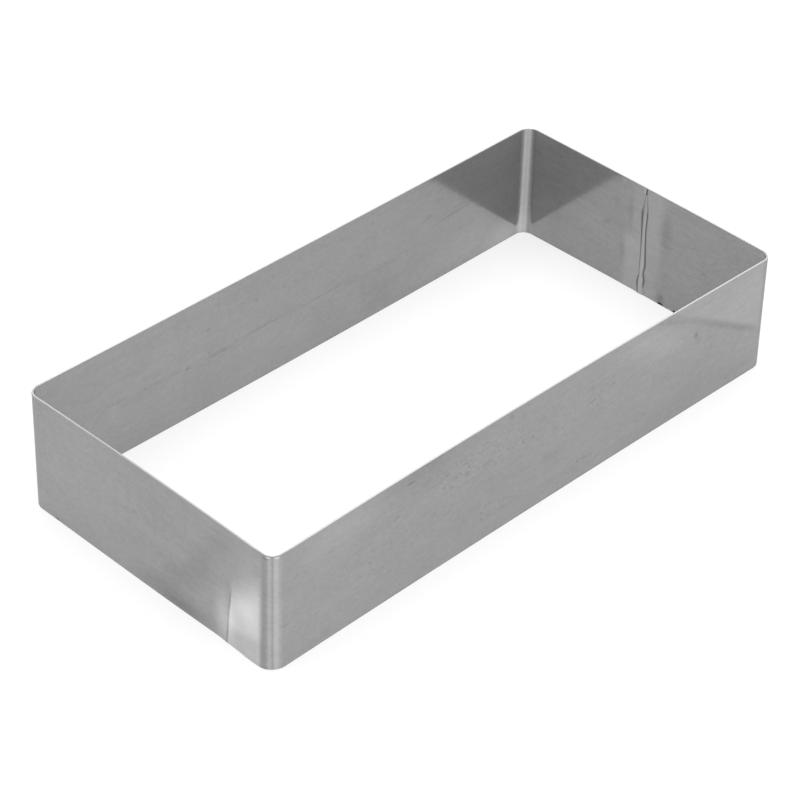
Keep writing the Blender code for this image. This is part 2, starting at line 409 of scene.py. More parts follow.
class RingSizes(bpy.types.PropertyGroup):
    """The bent strip and its seam."""

    length: distance("Length", "Outside length of the ring, along X", LENGTH)
    width: distance("Width", "Outside width of the ring, along Y", WIDTH)
    height: distance("Height", "Height of the strip", HEIGHT)
    sheet: distance("Sheet", "Thickness of the sheet", 0.8 * MM)
    bend: distance("Bend radius", "Outside radius of the four bends", 5.0 * MM)
    slit: distance("Slit", "Gap left between the strip's two ends", 0.5 * MM)
    edge: distance("Edge rounding", "Radius of the deburred edges", 0.22 * MM)
    step: distance("Step", "Largest face along and up the walls", 1.5 * MM)
    drawn: distance("Drawn edge", "How far a bend draws the outer side of the sheet's edges in", 0.28 * MM)
    unevenness: distance("Unevenness", "How far the sheet wavers from flat", 0.02 * MM)
    bead_top: distance("Bead top", "Height at which the weld bead starts", WELD_TOP)
    bead_proud: distance("Bead height", "How far the bead stands proud inside", 0.4 * MM)
    ripple: distance("Ripple pitch", "Distance between two ripples of the bead", 0.8 * MM)
    ripple_depth: distance("Ripple depth", "Depth of the ripples of the bead", 0.05 * MM)


class RingFinish(bpy.types.PropertyGroup):
    """The colours of the metal."""

    sheet: color("Rolled sheet", "Reflection colour of the rolled face of the sheet", "#A1A1A1")
    edge: color("Sheared edge", "Reflection colour of the cut edges", "#E0E0E0")
    scorch: color("Scorched ends", "Reflection colour of the strip's ends in the slit", "#26221F")
    weld: color("Weld metal", "Reflection colour of the bead", "#A8A8A8")


class RingStage(bpy.types.PropertyGroup):
    """The table and the light."""

    floor: color("Floor", "Colour of the table", "#B0B0B0")
    lamp: bpy.props.FloatProperty(
        name="Lamp", description="Power of the softbox overhead", default=8.0, unit="POWER"
    )
    lamp_size: distance("Lamp size", "Side of the softbox overhead", 1.6)
    lamp_height: distance("Lamp height", "Height of the softbox over the table", 1.5)
    fill: bpy.props.FloatProperty(
        name="Fill", description="Strength of the light from all round", default=0.9, min=0
    )


def add_node(tree, kind, inputs=(), **settings):
    """Adds a node: settings go on the node, and each input takes a value, a node or a socket."""
    node = tree.nodes.new(kind)
    for name, value in settings.items():
        setattr(node, name, value)
    for key, value in inputs.items() if isinstance(inputs, dict) else enumerate(inputs):
        if isinstance(value, bpy.types.Node):
            value = value.outputs[0]
        if isinstance(value, bpy.types.NodeSocket):
            tree.links.new(value, node.inputs[key])
        elif value is not None:
            node.inputs[key].default_value = value
    return node


def soft_step(tree, value, start, end, least=0.0):
    """Goes smoothly from least to 1 as the value goes from start to end, and stays there past either."""
    return add_node(
        tree, "ShaderNodeMapRange", {0: value, 1: start, 2: end, 3: least},
        interpolation_type="SMOOTHSTEP", clamp=False,
    )


def set_curve(node, points):
    """Gives a Float Curve node its points, and returns it."""
    node.mapping.use_clip = False
    curve = node.mapping.curves[0]
    for extra in range(len(points) - 2):
        curve.points.new(0.5, 0.5)
    for point, place in zip(curve.points, points):
        point.location = place
        point.handle_type = "AUTO"
    node.mapping.update()
    return node


def new_tree(name, sizes):
    """An empty Geometry Nodes tree with an input for each size, and its input node."""
    tree = bpy.data.node_groups.new(name, "GeometryNodeTree")
    tree.interface.new_socket("Geometry", in_out="OUTPUT", socket_type="NodeSocketGeometry")
    for key in sizes:
        socket = tree.interface.new_socket(key, in_out="INPUT", socket_type="NodeSocketFloat")
        socket.subtype = "DISTANCE"
    return tree, tree.nodes.new("NodeGroupInput")


def grow(name, tree, sizes, weigh=True):
    """An object whose plain mesh is what the tree makes; weigh turns its normals to its larger faces."""
    obj = bpy.data.objects.new(name, bpy.data.meshes.new(name))
    bpy.context.scene.collection.objects.link(obj)
    nodes = obj.modifiers.new("shape", "NODES")
    nodes.node_group = tree
    for socket in tree.interface.items_tree:
        if socket.in_out == "INPUT":
            nodes[socket.identifier] = sizes[socket.name]
    if weigh:
        obj.modifiers.new("weighted normals", "WEIGHTED_NORMAL").keep_sharp = True
    graph = bpy.context.evaluated_depsgraph_get()
    grown = obj.evaluated_get(graph)
    mesh = bpy.data.meshes.new_from_object(grown, preserve_all_data_layers=True, depsgraph=graph)
    obj.modifiers.clear()
    obj.data = mesh
    if not mesh.polygons:
        raise RuntimeError(f"{name} came out empty")
    return obj


def cut_runs(tree, curve, step):
    """Cuts each run of a curve into pieces no longer than step."""
    index = add_node(tree, "GeometryNodeInputIndex")
    here = add_node(tree, "GeometryNodeInputPosition")
    following = add_node(tree, "ShaderNodeMath", [index, 1], operation="ADD")
    there = add_node(tree, "GeometryNodeFieldAtIndex", data_type="FLOAT_VECTOR", domain="POINT")
    tree.links.new(following.outputs[0], there.inputs["Index"])
    tree.links.new(here.outputs[0], next(s for s in there.inputs if s.name == "Value" and s.enabled))
    gap = add_node(tree, "ShaderNodeVectorMath", [here, there], operation="DISTANCE")
    cuts = add_node(tree, "ShaderNodeMath", [gap.outputs["Value"], step], operation="DIVIDE")
    return add_node(tree, "GeometryNodeSubdivideCurve", [curve, cuts])


def keep_ends_sharp(tree, mesh):
    """Shades a swept mesh smooth, but for the edges round its two cut ends."""
    smooth = add_node(tree, "GeometryNodeSetShadeSmooth", {0: mesh, 2: True}, domain="FACE")
    angle = add_node(tree, "GeometryNodeInputMeshEdgeAngle")
    cut = add_node(tree, "ShaderNodeMath", [angle, SHARP_OVER], operation="GREATER_THAN")
    return add_node(tree, "GeometryNodeSetShadeSmooth", {0: smooth, 1: cut, 2: False}, domain="EDGE")


def strip_tree(sheet_material, edge_material, end_material, sizes):
    """The strip's path, the section of its sheet, and the sweep of one along the other."""
    tree, size = new_tree("bent strip", sizes)
    sheet = size.outputs["Sheet"]

    # Half the length and half the width of the middle of the sheet.
    half = []
    for key in ("Length", "Width"):
        inner = add_node(tree, "ShaderNodeMath", [size.outputs[key], sheet], operation="SUBTRACT")
        half.append(add_node(tree, "ShaderNodeMath", [inner, 0.5], operation="MULTIPLY"))

    # Six points: the strip's two ends at the seam and the four corners between them.
    line = add_node(tree, "GeometryNodeCurvePrimitiveLine")
    points = add_node(tree, "GeometryNodeResampleCurve", {0: line, 2: 6}, mode="COUNT")
    index = add_node(tree, "GeometryNodeInputIndex")
    middle = add_node(tree, "ShaderNodeMath", [2.5, index], operation="SUBTRACT")
    side = add_node(tree, "ShaderNodeMath", [middle], operation="SIGN")
    away = add_node(tree, "ShaderNodeMath", [middle], operation="ABSOLUTE")
    end = add_node(tree, "ShaderNodeMath", [away, 1.0], operation="SUBTRACT")
    end = add_node(tree, "ShaderNodeMath", [end], operation="SIGN")
    x = add_node(tree, "ShaderNodeMath", [end, half[0]], operation="MULTIPLY")
    at_seam = add_node(tree, "ShaderNodeMath", [away, 2.0], operation="GREATER_THAN")
    half_slit = add_node(tree, "ShaderNodeMath", [size.outputs["Slit"], 0.5], operation="MULTIPLY")
    reach = add_node(tree, "ShaderNodeMix", {0: at_seam, 2: half[1], 3: half_slit})
    y = add_node(tree, "ShaderNodeMath", [side, reach], operation="MULTIPLY")
    corner = add_node(tree, "ShaderNodeCombineXYZ", [x, y, 0.0])
    placed = add_node(tree, "GeometryNodeSetPosition", {0: points, 2: corner})
    half_sheet = add_node(tree, "ShaderNodeMath", [sheet, 0.5], operation="MULTIPLY")
    middle_bend = add_node(
        tree, "ShaderNodeMath", [size.outputs["Bend radius"], half_sheet], operation="SUBTRACT"
    )
    bent = add_node(
        tree, "GeometryNodeFilletCurve", {0: placed, 1: BEND_POINTS, 2: middle_bend}, mode="POLY"
    )
    path = cut_runs(tree, bent, size.outputs["Step"])

    # Each point of the path keeps its place, its way out of the ring and its distance from the seam.
    spot = add_node(tree, "GeometryNodeInputPosition")
    tangent = add_node(tree, "GeometryNodeInputTangent")
    out = add_node(tree, "ShaderNodeVectorMath", [tangent, (0, 0, 1)], operation="CROSS_PRODUCT")
    spline = add_node(tree, "GeometryNodeSplineParameter")
    for name, kept in (("route", spot), ("out", out)):
        path = add_node(
            tree, "GeometryNodeStoreNamedAttribute", {0: path, 2: name, 3: kept}, data_type="FLOAT_VECTOR"
        )
    path = add_node(
        tree, "GeometryNodeStoreNamedAttribute", {0: path, 2: "along", 3: spline.outputs["Length"]},
        data_type="FLOAT",
    )

    # The section, with its edges rounded and its place across and up the sheet kept.
    section = add_node(
        tree, "GeometryNodeCurvePrimitiveQuadrilateral", [sheet, size.outputs["Height"]], mode="RECTANGLE"
    )
    section = add_node(
        tree, "GeometryNodeFilletCurve", {0: section, 1: EDGE_POINTS, 2: size.outputs["Edge rounding"]},
        mode="POLY",
    )
    section = cut_runs(tree, section, size.outputs["Step"])
    section = add_node(
        tree, "GeometryNodeStoreNamedAttribute", {0: section, 2: "section", 3: spot},
        data_type="FLOAT_VECTOR",
    )
    swept = add_node(tree, "GeometryNodeCurveToMesh", {0: path, 1: section, "Fill Caps": True})
    swept = add_node(tree, "GeometryNodeFlipFaces", [swept])

    # The strip in its true place, before the walls bow.
    route = add_node(tree, "GeometryNodeInputNamedAttribute", ["route"], data_type="FLOAT_VECTOR")
    outward = add_node(tree, "GeometryNodeInputNamedAttribute", ["out"], data_type="FLOAT_VECTOR")
    across = add_node(tree, "GeometryNodeInputNamedAttribute", ["section"], data_type="FLOAT_VECTOR")
    across = add_node(tree, "ShaderNodeSeparateXYZ", [across])
    half_height = add_node(tree, "ShaderNodeMath", [size.outputs["Height"], 0.5], operation="MULTIPLY")
    up = add_node(tree, "ShaderNodeMath", [across.outputs[1], half_height], operation="ADD")
    off = add_node(tree, "ShaderNodeVectorMath", {0: outward, 3: across.outputs[0]}, operation="SCALE")
    true = add_node(tree, "ShaderNodeVectorMath", [route, off], operation="ADD")

    # Round a bend the outer side of the sheet is stretched, so its two edges are drawn in a little. The two
    # parts of the way out, multiplied, are 0 on a wall and a half in the middle of a bend, and count twice.
    facing = add_node(tree, "ShaderNodeSeparateXYZ", [outward])
    bend = add_node(tree, "ShaderNodeMath", [facing.outputs[0], facing.outputs[1]], operation="MULTIPLY")
    bend = add_node(tree, "ShaderNodeMath", [bend], operation="ABSOLUTE")
    outer = add_node(tree, "ShaderNodeMath", [across.outputs[0], sheet], operation="DIVIDE")
    outer = add_node(tree, "ShaderNodeMath", [outer, 0.5], operation="ADD")
    end = add_node(tree, "ShaderNodeMath", [across.outputs[1], half_height], operation="DIVIDE")
    end = add_node(tree, "ShaderNodeMath", [end, EDGE_REACH], operation="POWER")
    draw = add_node(tree, "ShaderNodeMath", [bend, outer], operation="MULTIPLY")
    draw = add_node(tree, "ShaderNodeMath", [draw, end], operation="MULTIPLY")
    draw = add_node(tree, "ShaderNodeMath", [draw, size.outputs["Drawn edge"]], operation="MULTIPLY")
    up = add_node(tree, "ShaderNodeMath", {0: draw, 1: -2.0, 2: up}, operation="MULTIPLY_ADD")
    raised = add_node(tree, "ShaderNodeCombineXYZ", [0.0, 0.0, up])
    true = add_node(tree, "ShaderNodeVectorMath", [true, raised], operation="ADD")

    # Each wall's bow, read at its share of the way along and mixed from foot to top.
    height_share = add_node(tree, "ShaderNodeMath", [up, size.outputs["Height"]], operation="DIVIDE")
    on_route = add_node(tree, "ShaderNodeSeparateXYZ", [route])
    bows = {}
    for wall, edges in WALL_BOWS.items():
        axis, run = (1, 0) if wall in ("back", "front") else (0, 1)
        share = add_node(tree, "ShaderNodeMath", [on_route.outputs[run], half[run]], operation="DIVIDE")
        share = add_node(tree, "ShaderNodeMath", [share, 0.5 * WAYS[wall], 0.5], operation="MULTIPLY_ADD")
        curves = []
        for points in edges:
            curve = add_node(tree, "ShaderNodeFloatCurve", {1: share})
            curves.append(set_curve(curve, [(at, 0.5 + amount / (2 * BOW_RANGE)) for at, amount in points]))
        top, foot = curves
        level = add_node(tree, "ShaderNodeMix", {0: height_share, 2: foot, 3: top})
        inward = add_node(tree, "ShaderNodeMath", [level, 0.5], operation="SUBTRACT")
        inward = add_node(tree, "ShaderNodeMath", [inward, -2 * BOW_RANGE * MM], operation="MULTIPLY")
        sign = 1 if wall in ("back", "right") else -1
        mine = add_node(tree, "ShaderNodeMath", [facing.outputs[axis], sign], operation="MULTIPLY")
        mine = add_node(tree, "ShaderNodeMath", [mine, 0.0], operation="MAXIMUM")
        moved = add_node(tree, "ShaderNodeMath", [mine, inward], operation="MULTIPLY")
        moved = add_node(tree, "ShaderNodeMath", [moved, sign], operation="MULTIPLY")
        bows[wall] = moved
    bow_x = add_node(tree, "ShaderNodeMath", [bows["left"], bows["right"]], operation="ADD")
    bow_y = add_node(tree, "ShaderNodeMath", [bows["front"], bows["back"]], operation="ADD")
    bow = add_node(tree, "ShaderNodeCombineXYZ", [bow_x, bow_y, 0.0])

    # The sheet is never quite flat: a slow wander, drawn the same for both of its faces.
    quiet = add_node(tree, "ShaderNodeVectorMath", [route, raised], operation="ADD")
    wander = add_node(tree, "ShaderNodeTexNoise", {"Vector": quiet, "Scale": WAVES_A_METRE, "Detail": 1.0})
    wander = add_node(tree, "ShaderNodeMath", [wander, 0.5], operation="SUBTRACT")
    wander = add_node(tree, "ShaderNodeMath", [wander, size.outputs["Unevenness"]], operation="MULTIPLY")
    wander = add_node(tree, "ShaderNodeVectorMath", {0: outward, 3: wander}, operation="SCALE")
    place = add_node(tree, "ShaderNodeVectorMath", [true, bow], operation="ADD")
    place = add_node(tree, "ShaderNodeVectorMath", [place, wander], operation="ADD")
    shaped = add_node(tree, "GeometryNodeSetPosition", {0: swept, 2: place})

    # What the finishes read: mm along from the seam, mm up, and -1 inside to +1 outside.
    along = add_node(tree, "GeometryNodeInputNamedAttribute", ["along"], data_type="FLOAT")
    along = add_node(tree, "ShaderNodeMath", [along, 1 / MM], operation="MULTIPLY")
    up_mm = add_node(tree, "ShaderNodeMath", [up, 1 / MM], operation="MULTIPLY")
    face = add_node(tree, "ShaderNodeMath", [across.outputs[0], half_sheet], operation="DIVIDE")
    told = add_node(tree, "ShaderNodeCombineXYZ", [along, up_mm, face])
    shaped = add_node(
        tree, "GeometryNodeStoreNamedAttribute", {0: shaped, 2: "place", 3: told}, data_type="FLOAT_VECTOR"
    )
    for spare in ("route", "out", "along", "section"):
        shaped = add_node(tree, "GeometryNodeRemoveAttribute", {0: shaped, "Name": spare})

    smooth = keep_ends_sharp(tree, shaped)
    faced = add_node(tree, "GeometryNodeSetMaterial", {0: smooth, 2: sheet_material})
    normal = add_node(tree, "ShaderNodeSeparateXYZ", [add_node(tree, "GeometryNodeInputNormal")])
    steep = add_node(tree, "ShaderNodeMath", [normal.outputs[2]], operation="ABSOLUTE")
    sheared = add_node(tree, "ShaderNodeMath", [steep, SHEARED_OVER], operation="GREATER_THAN")
    real = add_node(tree, "GeometryNodeRealizeInstances", [faced])
    edged = add_node(tree, "GeometryNodeSetMaterial", {0: real, 1: sheared, 2: edge_material})

    # The two cut ends face each other across the slit.
    here = add_node(tree, "ShaderNodeSeparateXYZ", [spot])
    facing_end = add_node(tree, "ShaderNodeMath", [normal.outputs[1]], operation="ABSOLUTE")
    facing_end = add_node(tree, "ShaderNodeMath", [facing_end, CUT_OVER], operation="GREATER_THAN")
    at_slit = add_node(tree, "ShaderNodeMath", [here.outputs[1]], operation="ABSOLUTE")
    at_slit = add_node(tree, "ShaderNodeMath", [at_slit, size.outputs["Slit"]], operation="LESS_THAN")
    ends = add_node(tree, "ShaderNodeMath", [facing_end, at_slit], operation="MULTIPLY")
    ended = add_node(tree, "GeometryNodeSetMaterial", {0: edged, 1: ends, 2: end_material})
    add_node(tree, "NodeGroupOutput", [ended])
    return tree


def weld_tree(material, sizes):
    """The bead: an upright tube whose section is a low dome inside and a flat outside."""
    tree, size = new_tree("seam weld", sizes)
    line = add_node(tree, "GeometryNodeCurvePrimitiveLine")
    path = add_node(tree, "GeometryNodeResampleCurve", {0: line, 2: BEAD_STEPS}, mode="COUNT")
    spline = add_node(tree, "GeometryNodeSplineParameter")
    path = add_node(
        tree, "GeometryNodeStoreNamedAttribute", {0: path, 2: "rise", 3: spline.outputs["Factor"]},
        data_type="FLOAT",
    )
    section = add_node(tree, "GeometryNodeCurvePrimitiveCircle", {0: BEAD_SIDES, 4: 1.0}, mode="RADIUS")
    spot = add_node(tree, "GeometryNodeInputPosition")
    section = add_node(
        tree, "GeometryNodeStoreNamedAttribute", {0: section, 2: "section", 3: spot},
        data_type="FLOAT_VECTOR",
    )
    tube = add_node(tree, "GeometryNodeCurveToMesh", {0: path, 1: section, "Fill Caps": True})
    rise = add_node(tree, "GeometryNodeInputNamedAttribute", ["rise"], data_type="FLOAT")
    around = add_node(tree, "GeometryNodeInputNamedAttribute", ["section"], data_type="FLOAT_VECTOR")
    around = add_node(tree, "ShaderNodeSeparateXYZ", [around])

    # Across the bead from -1 to +1, evenly spaced, and how far each point is from its middle.
    angle = add_node(tree, "ShaderNodeMath", [around.outputs[0]], operation="ARCSINE")
    across = add_node(tree, "ShaderNodeMath", [angle, 2 / math.pi], operation="MULTIPLY")
    off = add_node(tree, "ShaderNodeMath", [across], operation="ABSOLUTE")
    inside = add_node(tree, "ShaderNodeMath", [around.outputs[1], 0.0], operation="GREATER_THAN")

    toes = []
    for points in (LEFT_TOE, RIGHT_TOE):
        toe = add_node(tree, "ShaderNodeFloatCurve", {1: rise})
        toes.append(set_curve(toe, [(at, amount / TOE_RANGE) for at, amount in points]))
    left = add_node(tree, "ShaderNodeMath", [across, 0.0], operation="GREATER_THAN")
    toe = add_node(tree, "ShaderNodeMix", {0: left, 2: toes[1], 3: toes[0]})

    # Half the bead's width, lip included, and from it each point's place across the seam.
    half = add_node(tree, "ShaderNodeMath", [toe, TOE_RANGE * MM / TOE_SHARE], operation="MULTIPLY")
    y = add_node(tree, "ShaderNodeMath", [across, half], operation="MULTIPLY")
    height = add_node(tree, "ShaderNodeMath", [rise, size.outputs["Bead top"]], operation="MULTIPLY")

    # The dome, its toe groove and lip, with ripples that curve back towards the toes.
    dome = set_curve(add_node(tree, "ShaderNodeFloatCurve", {1: off}), DOME)
    lag = add_node(tree, "ShaderNodeMath", [off, off], operation="MULTIPLY")
    turns = add_node(tree, "ShaderNodeMath", [height, size.outputs["Ripple pitch"]], operation="DIVIDE")
    turns = add_node(tree, "ShaderNodeMath", [turns, lag], operation="ADD")
    turns = add_node(tree, "ShaderNodeMath", [turns, math.tau], operation="MULTIPLY")
    ripple = add_node(tree, "ShaderNodeMath", [turns], operation="SINE")
    ripple = add_node(tree, "ShaderNodeMath", [ripple, size.outputs["Ripple depth"]], operation="MULTIPLY")
    ripple = add_node(tree, "ShaderNodeMath", [ripple, dome], operation="MULTIPLY")
    proud = add_node(tree, "ShaderNodeMath", [dome, size.outputs["Bead height"]], operation="MULTIPLY")
    proud = add_node(tree, "ShaderNodeMath", [proud, ripple], operation="ADD")
    for (start, end), least in ((RUN_OUT, 0.0), (RUN_IN, THIN_START)):
        grown = soft_step(tree, height, start * MM, end * MM, least)
        proud = add_node(tree, "ShaderNodeMath", [proud, grown], operation="MULTIPLY")

    # The seam's wall stands out by its bow, and the bead stands with it.
    bows = []
    for points in WALL_BOWS["right"]:
        by_seam = [amount * MM for at, amount in points if abs(at - 0.5) < BY_SEAM]
        bows.append(sum(by_seam) / len(by_seam))
    top, foot = bows
    lean = add_node(tree, "ShaderNodeMath", [rise, foot - top, -foot], operation="MULTIPLY_ADD")
    outside = add_node(tree, "ShaderNodeMath", [size.outputs["Length"], 0.5], operation="MULTIPLY")
    outside = add_node(tree, "ShaderNodeMath", [outside, lean], operation="ADD")
    face = add_node(tree, "ShaderNodeMath", [outside, size.outputs["Sheet"]], operation="SUBTRACT")
    face = add_node(tree, "ShaderNodeMath", [face, proud], operation="SUBTRACT")
    ground = add_node(tree, "ShaderNodeMath", [dome, GROUND_DOME * MM], operation="MULTIPLY")
    flush = add_node(tree, "ShaderNodeMath", [outside, ground], operation="ADD")
    x = add_node(tree, "ShaderNodeMix", {0: inside, 2: flush, 3: face})
    place = add_node(tree, "ShaderNodeCombineXYZ", [x, y, height])
    shaped = add_node(tree, "GeometryNodeSetPosition", {0: tube, 2: place})
    millimetres = add_node(tree, "ShaderNodeMath", [height, 1 / MM], operation="MULTIPLY")
    told = add_node(tree, "ShaderNodeCombineXYZ", [across, millimetres, inside])
    shaped = add_node(
        tree, "GeometryNodeStoreNamedAttribute", {0: shaped, 2: "bead", 3: told}, data_type="FLOAT_VECTOR"
    )
    for spare in ("rise", "section"):
        shaped = add_node(tree, "GeometryNodeRemoveAttribute", {0: shaped, "Name": spare})
    smooth = keep_ends_sharp(tree, shaped)
    real = add_node(tree, "GeometryNodeRealizeInstances", [smooth])
    faced = add_node(tree, "GeometryNodeSetMaterial", {0: real, 2: material})
    add_node(tree, "NodeGroupOutput", [faced])
    return tree


def new_metal(name):
    """A metal's material, with its tree and its shader."""
    material = bpy.data.materials.new(name)
    material.use_nodes = True
    shader = material.node_tree.nodes["Principled BSDF"]
    shader.inputs["Metallic"].default_value = 1.0
    return material, material.node_tree, shader


def bend_run():
    """How far it is round one bend, along the middle of the sheet, in mm."""
    ring = bpy.context.scene.ring_sizes
    return (ring.bend - ring.sheet / 2) / MM * math.pi / 2


def along_strip(wall, across):
    """How far from the seam along the strip a place on a wall lies, in mm, from its X or Y in mm."""
    ring = bpy.context.scene.ring_sizes
    half_slit = ring.slit / 2 / MM
    half_long = (ring.length / 2 - ring.bend) / MM
    half_short = (ring.width / 2 - ring.bend) / MM
    first = half_short - half_slit + bend_run()
    second = first + 2 * half_long + bend_run()
    third = second + 2 * half_short + bend_run()
    fourth = third + 2 * half_long + bend_run()
    return {
        "seam": across - half_slit,
        "back": first + half_long - across,
        "left": second + half_short - across,
        "front": third + half_long + across,
        "right": fourth + half_short + across,
    }[wall]


def add_spot(tree, place, spot, total):
    """Adds one soft-edged oval to a tone, and returns the new tone."""
    wall, across, up, half_across, half_up, tilt, soft, strength = spot
    oval = add_node(
        tree, "ShaderNodeMapping",
        [
            place,
            (along_strip(wall, across), up, SIDES[wall]),
            (0, 0, math.radians(tilt) * WAYS[wall]),
            (half_across, half_up, REACH_THROUGH),
        ],
        vector_type="TEXTURE",
    )
    # The gradient is 1 in the middle of the oval and 0 from its rim on. It takes the mapped point as it is:
    # a vector node would make Cycles hold every oval at once, and run out of room for them.
    depth = add_node(tree, "ShaderNodeTexGradient", [oval], gradient_type="SPHERICAL")
    inside = soft_step(tree, depth.outputs["Fac"], 0.0, soft)
    return add_node(tree, "ShaderNodeMath", [inside, strength, total], operation="MULTIPLY_ADD")


def add_scratch(tree, place, scratch, total):
    """Adds one line, tapered at its ends, to a tone, and returns the new tone."""
    wall, across, up, far_across, far_up, half_width, soft, strength = scratch
    half_length = math.hypot(far_across - across, far_up - up) / 2
    tilt = math.degrees(math.atan2(far_up - up, far_across - across))
    middle = ((across + far_across) / 2, (up + far_up) / 2)
    return add_spot(tree, place, (wall, *middle, half_length, half_width, tilt, soft, strength), total)


def add_patch(tree, place, faces, patch, total):
    """Adds one patch with straight soft sides to a tone, and returns the new tone."""
    wall, strength, sides = patch
    share = faces[SIDES[wall]]
    for across, up, lead, soft in sides:
        lead = math.radians(lead)
        inward = (math.cos(lead) * WAYS[wall], math.sin(lead), 0.0)
        start = along_strip(wall, across) * inward[0] + up * inward[1]
        depth = add_node(tree, "ShaderNodeVectorMath", [place, inward], operation="DOT_PRODUCT")
        inside = soft_step(tree, depth.outputs["Value"], start - soft / 2, start + soft / 2)
        share = add_node(tree, "ShaderNodeMath", [share, inside], operation="MULTIPLY")
    return add_node(tree, "ShaderNodeMath", [share, strength, total], operation="MULTIPLY_ADD")


def rolled_sheet(finish):
    """Bright cold rolled stainless sheet, 2B: a soft grey mirror with a faint grain along the strip."""
    material, tree, shader = new_metal("cold_rolled_stainless_2b")
    told = add_node(tree, "ShaderNodeAttribute", attribute_name="place").outputs["Vector"]

    # Dragged scratches and pits wander a little, as rubbed and rolled marks do.
    ragged = add_node(
        tree, "ShaderNodeTexNoise", {"Vector": told, "Scale": RAGGED_A_MM, "Detail": 4.0, "Roughness": 0.7}
    )
    ragged = add_node(
        tree, "ShaderNodeVectorMath", [ragged.outputs["Color"], (0.5, 0.5, 0.5)], operation="SUBTRACT"
    )
    ragged = add_node(tree, "ShaderNodeVectorMath", [ragged, RAGGED_BY], operation="MULTIPLY")
    place = add_node(tree, "ShaderNodeVectorMath", [told, ragged], operation="ADD")

    # Rolling grain: fine streaks along the strip, a speckle too fine to roll out, and slower clouds.
    tone = 1.0 + FOOT_PAINTED_LIGHT
    for stretch, amount in GRAIN:
        streaks = add_node(tree, "ShaderNodeVectorMath", [told, stretch], operation="MULTIPLY")
        streaks = add_node(tree, "ShaderNodeTexNoise", {"Vector": streaks, "Scale": 1.0, "Detail": 2.0})
        streaks = add_node(tree, "ShaderNodeMath", [streaks, 0.5], operation="SUBTRACT")
        tone = add_node(tree, "ShaderNodeMath", [streaks, amount, tone], operation="MULTIPLY_ADD")

    # Painted light: the walls are a little paler towards the foot.
    apart = add_node(tree, "ShaderNodeSeparateXYZ", [told])
    tone = add_node(tree, "ShaderNodeMath", [apart.outputs[1], -FOOT_PAINTED_LIGHT_A_MM, tone], operation="MULTIPLY_ADD")
    outer = add_node(tree, "ShaderNodeMath", [apart.outputs[2], 0.0], operation="GREATER_THAN")
    inner = add_node(tree, "ShaderNodeMath", [1.0, outer], operation="SUBTRACT")
    # Spots, scratches and patches: marks in the sheet, with painted reflections, highlights and shade among
    # them.
    for spot in SPOTS_AND_PAINTED_LIGHT:
        tone = add_spot(tree, told, spot, tone)
    for scratch in SCRATCHES_AND_PAINTED_REFLECTIONS:
        tone = add_scratch(tree, told, scratch, tone)
    for scratch in DRAGGED:
        tone = add_scratch(tree, place, scratch, tone)
    ring = bpy.context.scene.ring_sizes
    run = bend_run()
    bend_end = -(ring.length / 2 - ring.bend) / MM
    for share, up, far_share, far_up, *rest in BEND_MARKS_AND_HIGHLIGHTS:
        near, far = (bend_end - (1 - part) * run for part in (share, far_share))
        tone = add_scratch(tree, told, ("front", near, up, far, far_up, *rest), tone)
    faces = {1: outer, -1: inner}
    for patch in PATCHES_AND_PAINTED_LIGHT:
        tone = add_patch(tree, told, faces, patch, tone)

    # Bends carry dull and bright lines: the bending tool's marks and painted reflections outside, and a
    # painted reflection inside.
    for wall, points, side, strength in LINED_BENDS:
        half = (ring.length if wall in ("back", "front") else ring.width) / 2 - ring.bend
        start = along_strip(wall, -WAYS[wall] * half / MM) - run
        share = add_node(tree, "ShaderNodeMapRange", {0: apart.outputs[0], 1: start, 2: start + run})
        lines = set_curve(add_node(tree, "ShaderNodeFloatCurve", {1: share}), points)
        lines = add_node(tree, "ShaderNodeMath", [lines, 0.5], operation="SUBTRACT")
        lines = add_node(tree, "ShaderNodeMath", [lines, faces[side]], operation="MULTIPLY")
        tone = add_node(tree, "ShaderNodeMath", [lines, strength, tone], operation="MULTIPLY_ADD")

    # Small pits and flecks, only where the sheet is pitted. Few of the pits are deep.
    spread = add_node(tree, "ShaderNodeVectorMath", [place, PIT_STRETCH], operation="MULTIPLY")
    cell = add_node(
        tree, "ShaderNodeTexVoronoi", {"Vector": spread, "Scale": 1 / PIT_SPACING, "Randomness": 1.0},
        voronoi_dimensions="2D",
    )
    choice = add_node(tree, "ShaderNodeSeparateXYZ", [cell.outputs["Color"]])
    breadth = add_node(tree, "ShaderNodeMath", [choice.outputs[2], PIT_LEAST], operation="ADD")
    reach = add_node(tree, "ShaderNodeMath", [cell.outputs["Distance"], breadth], operation="DIVIDE")
    pit = soft_step(tree, reach, PIT_RIM, PIT_FLOOR)
    kept = 0.0
    for mark in PITTED:
        kept = add_spot(tree, told, mark, kept)
    flecks = add_node(tree, "ShaderNodeTexNoise", {"Vector": told, "Scale": FLECKS_A_MM, "Detail": 1.0})
    flecks = add_node(tree, "ShaderNodeMath", [flecks, 0.5], operation="SUBTRACT")
    flecks = add_node(tree, "ShaderNodeMath", [flecks, kept], operation="MULTIPLY")
    tone = add_node(tree, "ShaderNodeMath", [flecks, FLECK_TONE, tone], operation="MULTIPLY_ADD")
    chosen = add_node(tree, "ShaderNodeMath", [choice.outputs[0], kept], operation="LESS_THAN")
    depth = add_node(tree, "ShaderNodeMath", [choice.outputs[1], 2.0], operation="POWER")
    depth = add_node(tree, "ShaderNodeMath", [depth, PIT_TONE], operation="MULTIPLY")
    pit = add_node(tree, "ShaderNodeMath", [pit, chosen], operation="MULTIPLY")
    tone = add_node(tree, "ShaderNodeMath", [pit, depth, tone], operation="MULTIPLY_ADD")

    value = add_node(tree, "ShaderNodeVectorMath", {0: finish.sheet[:3], 3: tone}, operation="SCALE")
    tree.links.new(value.outputs[0], shader.inputs["Base Color"])
